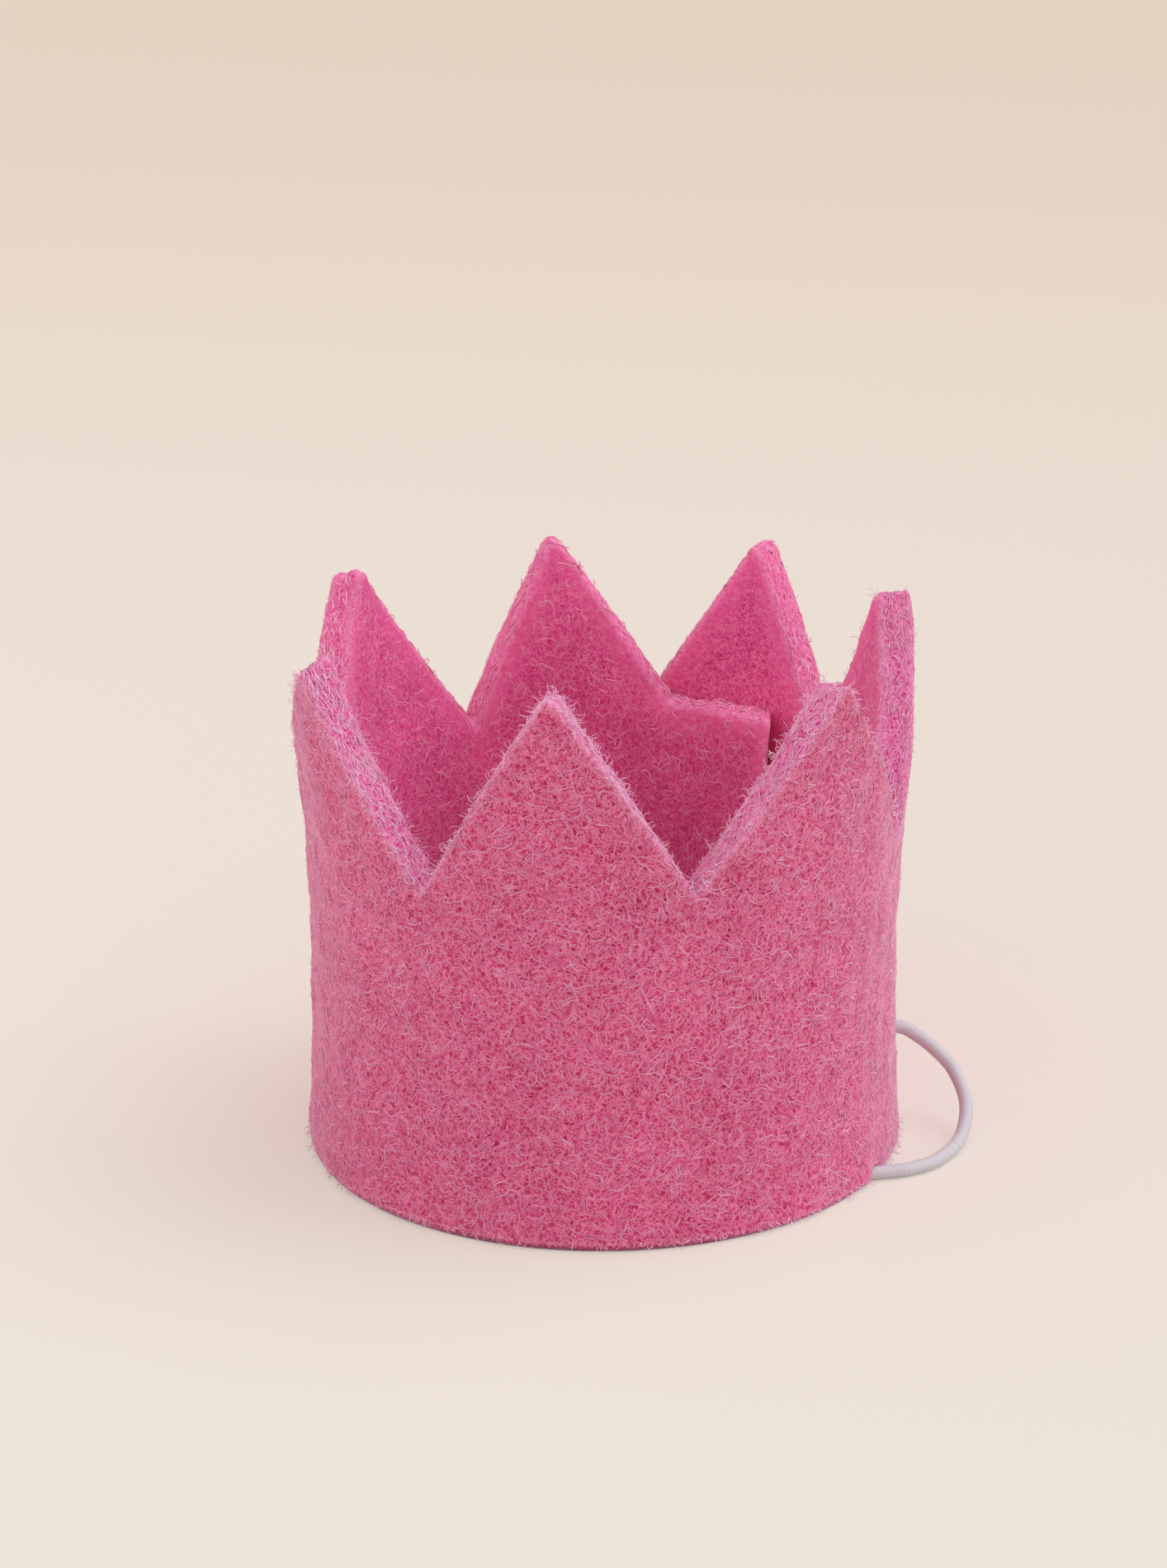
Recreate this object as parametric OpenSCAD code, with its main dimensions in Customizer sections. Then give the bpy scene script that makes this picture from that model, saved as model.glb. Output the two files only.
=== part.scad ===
// Birthday crown: one strip of thick felt, cut with seven points, rolled into a ring and lapped at
// the back, with a round chin elastic knotted through two holes and tucked under the lower edge.
// Angles go round the ring from the front (-Y) towards +X; the strip runs from its tab end upwards.

/* [Felt strip] */
// Outside diameter of the ring at its lower edge
base_d = 85; // [78:0.5:95]
// Thickness of the felt
felt_t = 5; // [3:0.25:6]
// Height of the bottoms of the V cuts
dip_h = 49.5; // [42:0.5:56]
// Height of the points
tip_h = 78; // [70:0.5:88]
// Width of the blunt end of each point
tip_w = 1.6; // [1:0.1:4]
// Height of the plain tab at the inner end of the strip
tab_h = 55; // [50:0.5:60]
// How far the wall draws in at half height
waist = 0.8; // [0:0.1:1.5]
// How far the points lean out at their ends
lean = 2.2; // [0:0.1:4]
// How far the ring is out of round
oval = 0.5; // [0:0.1:1]
// Gap between the two layers of the lap, taken up by glue
lap_gap = 0.3; // [0.2:0.05:0.6]

/* [Chin elastic] */
// Diameter of the round elastic
cord_d = 2; // [1.5:0.1:2.5]
// Room around the elastic in its holes and under the lower edge
cord_clear = 0.15; // [0.1:0.05:0.3]
// Height of the two holes for the elastic
hole_h = 13.5; // [10:0.5:18]
// Diameter of each end knot
knot_d = 5.6; // [4.5:0.1:7]
// Length of each end knot along the elastic
knot_l = 4.6; // [3.5:0.1:6]
// Free end left past each knot
tail_l = 5; // [3:0.5:10]

/* [Hidden] */
$fn = 48;
base_r = base_d / 2;
cord_r = cord_d / 2;
axis_y = 0.7;
oval_dir = 116;
knot_gap = 0.1;
knot_round = 1.2;

// Hand-cut layout: angle of each point and V cut, and how far it misses the common height
tips = [[191.5, -0.5], [242, 0], [294.5, -2], [350, 1], [407, -1.5], [465, -0.5], [506, 0]];
dips = [[210, 1], [267, -0.5], [324, -0.5], [376.5, 1.5], [435, -1], [485.5, 1]];
tab_end = 132;
tab_slant = 7;
tab_from = 163;
lap_from = 175;
lap_to = 205;
outer_end = 534;
blunt = tip_w / 2 / base_r * 180 / PI;

// Upper edge of the strip from the tab to the outer end
edge = concat(
    [[tab_end, tab_h], [tab_from, tab_h]],
    [for (i = [0 : len(tips) - 1]) each concat(
        [for (s = [-1, 1]) [tips[i][0] + s * blunt, tip_h + tips[i][1]]],
        i < len(dips) ? [[dips[i][0], dip_h + dips[i][1]]] : [])],
    [[outer_end, dip_h]]
);
col_step = 4;
columns = concat(
    [for (i = [0 : len(edge) - 2])
        let (span = edge[i + 1][0] - edge[i][0], n = ceil(span / col_step))
        each [for (k = [0 : n - 1]) edge[i][0] + span * k / n]],
    [outer_end]
);
rows = 6;

function pol(r, a, z) = [r * sin(a), axis_y - r * cos(a), z];
function unit(v) = v / norm(v);
function ease(t) = t <= 0 ? 0 : t >= 1 ? 1 : t * t * (3 - 2 * t);

// Outside radius of the strip: waist below the cuts, lean above them, drawn in under the lap
// One point leans further than the rest
far_lean = [[267, 0], [294.5, 1.4], [324, 0]];
function rise(a, z) = z < dip_h ? -waist * sin(180 * z / dip_h) - waist / 2 * z / dip_h
    : -waist / 2 + (lean + lookup(a, far_lean)) * (z - dip_h) / (tip_h - dip_h);
function wall_r(a, z) = base_r + rise(a, z) + oval * cos(2 * (a - oval_dir))
    - (felt_t + lap_gap) * ease((lap_to - a) / (lap_to - lap_from));

// The tab's end is cut at a slant, so its outside stops short of its inside
function slant(a) = tab_slant * ease((tab_from - a) / (tab_from - tab_end));
function strip_point(c, j, side) =
    let (a = columns[c], z = lookup(a, edge) * j / rows)
    pol(wall_r(a, z) - side * felt_t, a + (1 - side) * slant(a), z);

// Angle of each hole, and where the elastic slips under the edge on each side
hole_right = 457;
hole_left = 228;
under_right = [[2, 66.5], [-7, 55]];
under_left = [[2, 212], [-8, 212]];

// Route of the elastic: its two loops as [distance outside the base radius, angle, height], and
// between them [x, y] from the ring's axis, lying flat inside the crown
loop_right = [
    [-2.5, 97, hole_h], [1, 97, hole_h], [3.5, 96.2, 12.3], [6.2, 94.6, 10.3], [8.6, 92.3, 7.8],
    [10, 87.5, 4.5], [9.2, 81.5, 1.5], [6.8, 73.5, cord_r], [4.2, 69, cord_r],
    [2, 66.5, cord_r], [-2.7, 61.4, cord_r], [-7, 55, cord_r]
];
lie_inside = [
    [20, -22.5], [10, -25.5], [0, -26.5], [-10, -24.5], [-18.5, -18.5], [-23, -9.5], [-21.5, 0],
    [-14, 6.5], [-4.5, 5.5], [4, 0], [13, -3.5], [21, 0.5], [23, 9], [17.5, 16.5], [8, 20],
    [-3.5, 20.5], [-12, 22.5]
];
loop_left = [
    [-8, 212, cord_r], [-3, 212, cord_r], [2, 212, cord_r], [6, 215, 1.8], [7.4, 221, 5.8],
    [6, 226, 10], [3.5, 227.5, 12.5], [1, 228, hole_h], [-2.5, 228, hole_h]
];
function knot_face(a) = wall_r(a, hole_h) - felt_t - knot_gap;
route = concat(
    [pol(knot_face(hole_right), hole_right, hole_h)],
    [for (p = loop_right) pol(base_r + p[0], p[1], p[2])],
    [for (p = lie_inside) [p[0], p[1] + axis_y, cord_r]],
    [for (p = loop_left) pol(base_r + p[0], p[1], p[2])],
    [pol(knot_face(hole_left), hole_left, hole_h)]
);
last = len(route) - 1;

// Smooth curve through the route, two steps to a span, never lower than where it lies
function bend(p, q, r, s, t) = (2 * q + (r - p) * t + (2 * p - 5 * q + 4 * r - s) * t * t
    + (3 * q - p - 3 * r + s) * t * t * t) / 2;
function laid(p) = [p[0], p[1], max(p[2], cord_r)];
line = concat(
    [for (i = [0 : last - 1], t = [0, 0.5])
        laid(bend(route[max(i - 1, 0)], route[i], route[i + 1], route[min(i + 2, last)], t))],
    [route[last]]
);
ends = len(line) - 1;
heading = [for (i = [0 : ends]) unit(line[min(i + 1, ends)] - line[max(i - 1, 0)])];
function square_to(v, t) = unit(v - (v * t) * t);
ups = [for (i = 0, u = square_to([0, 0, 1], heading[0]); i <= ends;
    i = i + 1, u = i <= ends ? square_to(u, heading[i]) : u) u];
sides = 8;
function ring(i) = [for (k = [0 : sides - 1]) let (w = 360 * k / sides)
    line[i] + cord_r * (ups[i] * cos(w) + cross(heading[i], ups[i]) * sin(w))];

module radial(r, a, z) {
    translate(pol(r, a, z)) rotate([90, 0, a]) children();
}

module strip() {
    n = len(columns);
    m = rows + 1;
    pts = [for (c = [0 : n - 1], side = [0, 1], j = [0 : rows]) strip_point(c, j, side)];
    function at(c, side, j) = (c * 2 + side) * m + j;
    function quad(p, q, r, s) = [[p, q, r], [p, r, s]];
    faces = concat(
        [for (c = [0 : n - 2], j = [0 : rows - 1])
            each quad(at(c, 0, j), at(c, 0, j + 1), at(c + 1, 0, j + 1), at(c + 1, 0, j))],
        [for (c = [0 : n - 2], j = [0 : rows - 1])
            each quad(at(c, 1, j), at(c + 1, 1, j), at(c + 1, 1, j + 1), at(c, 1, j + 1))],
        [for (c = [0 : n - 2])
            each quad(at(c, 0, rows), at(c, 1, rows), at(c + 1, 1, rows), at(c + 1, 0, rows))],
        [for (c = [0 : n - 2])
            each quad(at(c, 0, 0), at(c + 1, 0, 0), at(c + 1, 1, 0), at(c, 1, 0))],
        [for (j = [0 : rows - 1])
            each quad(at(0, 0, j), at(0, 1, j), at(0, 1, j + 1), at(0, 0, j + 1))],
        [for (j = [0 : rows - 1])
            each quad(at(n - 1, 0, j), at(n - 1, 0, j + 1), at(n - 1, 1, j + 1), at(n - 1, 1, j))]
    );
    polyhedron(pts, faces, convexity = 10);
}

// Hollow pressed into the lower edge where the strip stands on the elastic
module tuck(way) {
    p = pol(base_r + way[0][0], way[0][1], 0);
    q = pol(base_r + way[1][0], way[1][1], 0);
    wide = cord_d + 2 * cord_clear;
    translate(p) rotate([0, 0, atan2(q[1] - p[1], q[0] - p[0])]) {
        translate([0, 0, cord_r]) rotate([0, 90, 0]) cylinder(d = wide, h = norm(q - p));
        translate([0, -wide / 2, -1]) cube([norm(q - p), wide, cord_r + 1]);
    }
}

module felt_band() {
    color("hotpink") difference() {
        strip();
        for (a = [hole_right, hole_left])
            radial(base_r - 3 * felt_t, a, hole_h) cylinder(d = cord_d + 2 * cord_clear, h = 4 * felt_t);
        tuck(under_right);
        tuck(under_left);
    }
}

module chin_elastic() {
    tube = [for (i = [0 : ends]) each ring(i)];
    faces = concat(
        [[for (k = [0 : sides - 1]) k]],
        [for (i = [0 : ends - 1], k = [0 : sides - 1])
            let (a = i * sides, b = a + sides, n = (k + 1) % sides)
            each [[a + k, b + k, b + n], [a + k, b + n, a + n]]],
        [[for (k = [sides - 1 : -1 : 0]) ends * sides + k]]
    );
    color("white") polyhedron(tube, faces, convexity = 10);
}

// Overhand knot drawn up against the felt, with its short free end
module knot(a) {
    r = knot_d / 2;
    color("white") radial(knot_face(a), a, hole_h) rotate([180, 0, 0]) rotate_extrude() {
        square([r - knot_round, knot_l]);
        translate([0, knot_round]) square([r, knot_l - 2 * knot_round]);
        for (h = [knot_round, knot_l - knot_round])
            translate([r - knot_round, h]) circle(r = knot_round);
        square([cord_r, knot_l + tail_l]);
    }
}

module knot_right() {
    knot(hole_right);
}

module knot_left() {
    knot(hole_left);
}

felt_band();
chin_elastic();
knot_right();
knot_left();
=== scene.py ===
import math

import bmesh
import bpy
import numpy as np
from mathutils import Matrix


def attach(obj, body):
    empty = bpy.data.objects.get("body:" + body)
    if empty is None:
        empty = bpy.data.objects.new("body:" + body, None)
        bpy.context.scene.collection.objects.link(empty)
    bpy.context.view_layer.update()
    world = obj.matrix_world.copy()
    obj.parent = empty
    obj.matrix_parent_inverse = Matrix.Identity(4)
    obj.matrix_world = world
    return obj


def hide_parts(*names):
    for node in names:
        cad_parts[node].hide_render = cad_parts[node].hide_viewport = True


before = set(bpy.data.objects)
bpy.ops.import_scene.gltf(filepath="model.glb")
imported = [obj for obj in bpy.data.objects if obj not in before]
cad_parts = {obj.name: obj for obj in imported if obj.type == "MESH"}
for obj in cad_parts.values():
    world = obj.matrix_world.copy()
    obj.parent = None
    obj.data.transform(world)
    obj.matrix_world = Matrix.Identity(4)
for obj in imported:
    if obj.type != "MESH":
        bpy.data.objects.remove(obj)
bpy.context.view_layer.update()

mm = 0.001
rng = np.random.default_rng(11)  # every random draw below comes from this one seed
scene = bpy.context.scene
scene.view_settings.view_transform = "Standard"


def linear(hexColour):
    parts = [int(hexColour[i:i + 2], 16) / 255 for i in (1, 3, 5)]
    return [c / 12.92 if c <= 0.04045 else ((c + 0.055) / 1.055) ** 2.4 for c in parts] + [1.0]


def perMetre(sizeMm):
    return 1 / (sizeMm * mm)  # a texture node's scale for a pattern of this real size


def addNode(tree, kind, links=None, **settings):
    node = tree.nodes.new(kind)
    for name, value in settings.items():
        setattr(node, name, value)
    for socket, source in (links or {}).items():
        if isinstance(source, bpy.types.NodeSocket):
            tree.links.new(source, node.inputs[socket])
        else:
            node.inputs[socket].default_value = source
    return node


def newMaterial(name):
    material = bpy.data.materials.new(name)
    material.use_nodes = True
    material.node_tree.nodes.clear()
    return material, material.node_tree


def ease(t):
    t = np.clip(t, 0, 1)
    return t * t * (3 - 2 * t)


def unit(vectors):
    return vectors / np.maximum(np.linalg.norm(vectors, axis=-1, keepdims=True), 1e-9)


def meshPiece(name, points, loops, starts, material, smooth=True):
    mesh = bpy.data.meshes.new(name)
    mesh.vertices.add(len(points))
    mesh.vertices.foreach_set("co", (np.asarray(points) * mm).astype(np.float32).ravel())
    mesh.loops.add(len(loops))
    mesh.loops.foreach_set("vertex_index", np.asarray(loops, np.int32))
    mesh.polygons.add(len(starts))
    mesh.polygons.foreach_set("loop_start", np.asarray(starts, np.int32))
    mesh.update(calc_edges=True)
    mesh.validate()
    mesh.polygons.foreach_set("use_smooth", np.full(len(mesh.polygons), smooth))
    mesh.materials.append(material)
    piece = bpy.data.objects.new(name, mesh)
    scene.collection.objects.link(piece)
    return piece


def pointValues(piece, label, values):
    layer = piece.data.attributes.new(label, "FLOAT", "POINT")
    layer.data.foreach_set("value", values.ravel().astype(np.float32))


# Camera and stage
view = {
    "place": (-3.0, -519.32, 232.93),  # mm
    "lookDown": 19.10,  # degrees below level
    "lens": 89.30, "sensor": 36,  # mm; the sensor's size is along the long side of the picture
    "clip": (0.01, 50),  # m, the nearest and the farthest that the camera sees
}
camera = bpy.data.objects.new("camera", bpy.data.cameras.new("camera"))
camera.location = [c * mm for c in view["place"]]
camera.rotation_euler = (math.radians(90 - view["lookDown"]), 0, 0)
camera.data.lens = view["lens"]
camera.data.sensor_width = view["sensor"]
camera.data.clip_start, camera.data.clip_end = view["clip"]
scene.collection.objects.link(camera)
scene.camera = camera

stage = {
    "floorWide": 12000,  # mm
    "near": "#FFFAF4",
    "far": "#F7E8DB",
    "nearY": -150,  # mm, where the floor has its near colour
    "farY": 1150,
    "shadeless": 0.35,  # share of the paper that the camera sees in its own colour, so its shadows stay pale
    "sky": "#E6D5C4",
    "ambient": 0.62,
    "ambientColour": "#FFF2E2",
    "lampColour": "#E9F1FF",
    # direction to each wide soft lamp, its strength and its width in degrees
    "lamps": {
        "key": ((0.46, 0.16, 0.87), 0.85, 45),
        "fillLeft": ((-0.79, -0.24, 0.60), 0.95, 70),
        "fillRight": ((0.79, -0.24, 0.60), 1.05, 70),
    },
}


def seenPlainly(tree):
    # 1 for the camera's own rays, and for those that come to it by way of a mirror or through glass
    path = addNode(tree, "ShaderNodeLightPath")
    seen = path.outputs["Is Camera Ray"]
    for ray in ("Is Glossy Ray", "Is Transmission Ray"):
        either = addNode(tree, "ShaderNodeMath", {0: seen, 1: path.outputs[ray]}, operation="MAXIMUM")
        seen = either.outputs[0]
    return seen


def paperSweep():
    # Matt studio paper: no gloss, a warm cream that deepens slowly away from the camera
    material, tree = newMaterial("matt cream studio paper")
    where = addNode(tree, "ShaderNodeTexCoord")
    parts = addNode(tree, "ShaderNodeSeparateXYZ", {0: where.outputs["Object"]})
    away = addNode(tree, "ShaderNodeMapRange", {
        0: parts.outputs["Y"], 1: stage["nearY"] * mm, 2: stage["farY"] * mm},
        interpolation_type="SMOOTHSTEP")
    colour = addNode(tree, "ShaderNodeMix", {
        0: away.outputs[0], 6: linear(stage["near"]), 7: linear(stage["far"])}, data_type="RGBA")
    paper = addNode(tree, "ShaderNodeBsdfDiffuse", {"Color": colour.outputs[2], "Roughness": 1.0})
    shown = addNode(tree, "ShaderNodeEmission", {"Color": colour.outputs[2], "Strength": 1.0})
    share = addNode(tree, "ShaderNodeMath", {
        0: seenPlainly(tree), 1: stage["shadeless"]}, operation="MULTIPLY")
    body = addNode(tree, "ShaderNodeMixShader", {
        0: share.outputs[0], 1: paper.outputs[0], 2: shown.outputs[0]})
    addNode(tree, "ShaderNodeOutputMaterial", {"Surface": body.outputs[0]})
    return material


half = stage["floorWide"] / 2
floor = meshPiece(
    "floor", [(-half, -half, 0), (half, -half, 0), (half, half, 0), (-half, half, 0)],
    [0, 1, 2, 3], [0], paperSweep(), smooth=False)

world = bpy.data.worlds.new("studio")
scene.world = world
world.use_nodes = True
world.node_tree.nodes.clear()
soft = addNode(world.node_tree, "ShaderNodeBackground", {
    "Color": linear(stage["ambientColour"]), "Strength": stage["ambient"]})
backdrop = addNode(world.node_tree, "ShaderNodeBackground", {"Color": linear(stage["sky"]), "Strength": 1.0})
sky = addNode(world.node_tree, "ShaderNodeMixShader", {
    0: seenPlainly(world.node_tree), 1: soft.outputs[0], 2: backdrop.outputs[0]})
addNode(world.node_tree, "ShaderNodeOutputWorld", {"Surface": sky.outputs[0]})

for name, (towards, strength, wide) in stage["lamps"].items():
    lamp = bpy.data.lights.new(name, "SUN")
    lamp.energy = strength
    lamp.angle = math.radians(wide)
    lamp.color = linear(stage["lampColour"])[:3]
    holder = bpy.data.objects.new(name, lamp)
    x, y, z = towards
    holder.rotation_euler = (math.acos(z / np.linalg.norm(towards)), 0, math.atan2(y, x) + math.pi / 2)
    scene.collection.objects.link(holder)
    if name != "key":  # the fill lamps light the crown alone, so only the key throws a shadow on the floor
        offFloor = bpy.data.collections.new("not lit by " + name)
        offFloor.objects.link(floor)
        offFloor.collection_objects[0].light_linking.link_state = "EXCLUDE"
        holder.light_linking.receiver_collection = offFloor
print("stage and camera ready")

# The felt strip as it was cut and rolled: mm and degrees, 0 at the front and growing towards +X
crown = {
    "baseDia": 85, "thick": 5, "axisY": 0.7,
    "dipHigh": 49.5, "tipHigh": 78, "tipWide": 1.6, "tabHigh": 55,
    "waist": 0.8, "lean": 2.2, "oval": 0.5, "ovalDir": 116,
    "lapGap": 0.3, "lapFrom": 175, "lapTo": 205, "lapMargin": 5,
    "tabEnd": 132, "tabFrom": 163, "tabSlant": 7, "outerEnd": 534,
    "tips": [(191.5, 0.4), (242, 0.35), (294.5, -2), (350, 1), (407, -1.5), (465, -0.2), (506, 0.4)],
    "dips": [(210.6, 1.5), (267, -0.5), (324, -0.5), (376.5, 1.5), (435, -1), (485.5, 1)],
    "farLean": [(267, 0), (294.5, 1.4), (324, 0)],  # the front-left point leans out more
    # mm that the cut of the two left points falls from the inside to the outside
    "slants": [(235, 0), (242, 1.1), (249, 0), (288, 0), (294.5, 2.2), (301, 0)],
    "cutRound": 0.65,  # mm that the felt's cut edges are worn round
    "softRound": 1.2,  # mm, inner edge of the points at the back
    "lapRound": 2.3, "lapBlend": 16,  # the lapped end was pressed, so the outer edge of its cut is rounder
    "frayMid": 372, "frayHalf": 130, "frayFade": 25,  # the three front points and the right one are frayed
    "endWide": 1.4,  # mm, how far the cut at each end of the strip reaches round its corner
    "footHigh": 2.2, "footDeep": 0.9,  # the inner lower edge curls under
    # mm that the outer lower edge stands off the table, and how far in it comes down to it, for each mm
    "lift": [(132, 0.2), (250, 0.4), (285, 1.0), (335, 0.95), (375, 0.8), (420, 0.6), (465, 0.3), (534, 0.2)],
    "liftDeep": 0.85,
    # the lifted edge from the table up to the wall: shares of the lift, and how much each is underside, which
    # gets painted shade
    "lipHigh": (0, 0.45, 0.85, 1.3), "lipDeep": (1, 0.5, 0.12, 0.02), "lipUnder": (1, 1, 0.4, 0),
    "soften": 0.9,  # mm along the edge over which a cut corner goes round
    "edgeStep": 0.1, "slopeSpan": 0.8,  # degrees
    "columnStep": 0.62, "wallRows": 38, "roundSteps": 3, "cutSteps": 8, "footSteps": 4,
    "lump": 0.12, "lumpSizes": (5.0, 18.0),  # mm, the felt's own unevenness
    "lapCalm": 0.3,  # share of it that is left where the two layers press on each other
    "ragged": 0.16, "raggedSizes": (0.9, 2.6),  # mm, the scissors' line
    "waves": 18,  # how many ripples add up to each of these two
}
baseR = crown["baseDia"] / 2
thick = crown["thick"]


def edgeLine():
    tipHalf = math.degrees(crown["tipWide"] / 2 / baseR)
    points = [(crown["tabEnd"], crown["tabHigh"]), (crown["tabFrom"], crown["tabHigh"])]
    for i, (angle, miss) in enumerate(crown["tips"]):
        points += [(angle + side * tipHalf, crown["tipHigh"] + miss) for side in (-1, 1)]
        if i < len(crown["dips"]):
            points.append((crown["dips"][i][0], crown["dipHigh"] + crown["dips"][i][1]))
    points.append((crown["outerEnd"], crown["dipHigh"]))
    step = crown["edgeStep"]
    angles = np.arange(crown["tabEnd"], crown["outerEnd"] + step / 2, step)
    heights = np.interp(angles, *zip(*points))
    window = int(math.degrees(crown["soften"] / baseR) / step) | 1
    padded = np.pad(heights, window // 2, mode="edge")
    return angles, np.convolve(padded, np.ones(window) / window, mode="valid")


edgeAngles, edgeHeights = edgeLine()
edgeAlong = np.concatenate([[0], np.cumsum(np.hypot(
    np.radians(np.diff(edgeAngles)) * baseR, np.diff(edgeHeights)))])


def edgeHeight(angle):
    return np.interp(angle, edgeAngles, edgeHeights)


def edgeSlope(angle):
    span = crown["slopeSpan"]
    rise = edgeHeight(angle + span / 2) - edgeHeight(angle - span / 2)
    return rise / (math.radians(span) * baseR)


def rimHeight(angle, depth):
    return edgeHeight(angle) + np.interp(angle, *zip(*crown["slants"])) * (depth / thick - 0.5)


def outerRound(angle):
    pressed = ease((crown["lapTo"] + crown["lapBlend"] / 2 - angle) / crown["lapBlend"])
    return crown["cutRound"] + (crown["lapRound"] - crown["cutRound"]) * pressed


def fray(angle):
    return ease((crown["frayHalf"] - np.abs(angle - crown["frayMid"])) / crown["frayFade"])


def innerRound(angle):
    return crown["cutRound"] + (crown["softRound"] - crown["cutRound"]) * (1 - fray(angle))


def footLift(angle):
    return np.interp(angle, *zip(*crown["lift"]))


def rimSink(angle, depth):
    # how far the worn edges of the cut lie below its flat middle
    outer, inner = outerRound(angle), innerRound(angle)
    overOuter, overInner = (outer - depth) / outer, np.maximum(depth - thick + inner, 0) / inner
    away = np.where(depth < outer, overOuter, overInner).clip(0, 1)
    return np.where(depth < outer, outer, inner) * (1 - np.sqrt(1 - away ** 2))


def wallRadius(angle, high):
    waist, dip = crown["waist"], crown["dipHigh"]
    over = high - dip
    low = -waist * np.sin(np.pi * high / dip) - waist / 2 * high / dip
    lean = crown["lean"] + np.interp(angle, *zip(*crown["farLean"]))
    top = -waist / 2 + lean * over / (crown["tipHigh"] - dip)
    inwards = ease((crown["lapTo"] - angle) / (crown["lapTo"] - crown["lapFrom"]))
    return (baseR + np.where(over < 0, low, top)
            + crown["oval"] * np.cos(2 * np.radians(angle - crown["ovalDir"]))
            - (thick + crown["lapGap"]) * inwards)


def feltPoint(angle, high, depth):
    # depth is 0 on the outer face and thick on the inner one
    slant = crown["tabSlant"] * ease((crown["tabFrom"] - angle) / (crown["tabFrom"] - crown["tabEnd"]))
    turn = np.radians(angle + slant * (1 - depth / thick))
    radius = wallRadius(angle, high) - depth
    return np.stack([radius * np.sin(turn), crown["axisY"] - radius * np.cos(turn), high + 0 * radius], -1)


def outwards(angle):
    turn = np.radians(angle)
    return np.stack([np.sin(turn), -np.cos(turn), 0 * turn], -1)


def roundwards(angle, slope=0):
    turn = np.radians(angle)
    return np.stack([np.cos(turn), np.sin(turn), slope + 0 * turn], -1)


def cutFrame(angle):
    # the way along the cut, and the way straight up out of it
    tangent = unit(roundwards(angle, edgeSlope(angle)))
    normal = unit(np.cross(outwards(angle), -tangent))
    return tangent, normal * np.sign(normal[..., 2:])


def makeWaves(count, sizes):
    length = np.exp(rng.uniform(*np.log(sizes), count))
    return unit(rng.normal(size=(count, 3))) * (2 * np.pi / length)[:, None], rng.uniform(0, 2 * np.pi, count)


def ripple(points, waves):
    return np.sin(points @ waves[0].T + waves[1]).sum(-1) * math.sqrt(2 / len(waves[1]))


lumpWaves = makeWaves(crown["waves"], crown["lumpSizes"])
raggedWaves = makeWaves(crown["waves"], crown["raggedSizes"])


def lumps(points, angle, depth):
    overTab = angle > crown["tabEnd"] + 360 - crown["lapMargin"]  # where the inner face lies on the tab
    inLap = np.where(depth < thick / 2, angle < crown["lapTo"], overTab)
    return crown["lump"] * ripple(points, lumpWaves) * np.where(inLap, crown["lapCalm"], 1)


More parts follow.
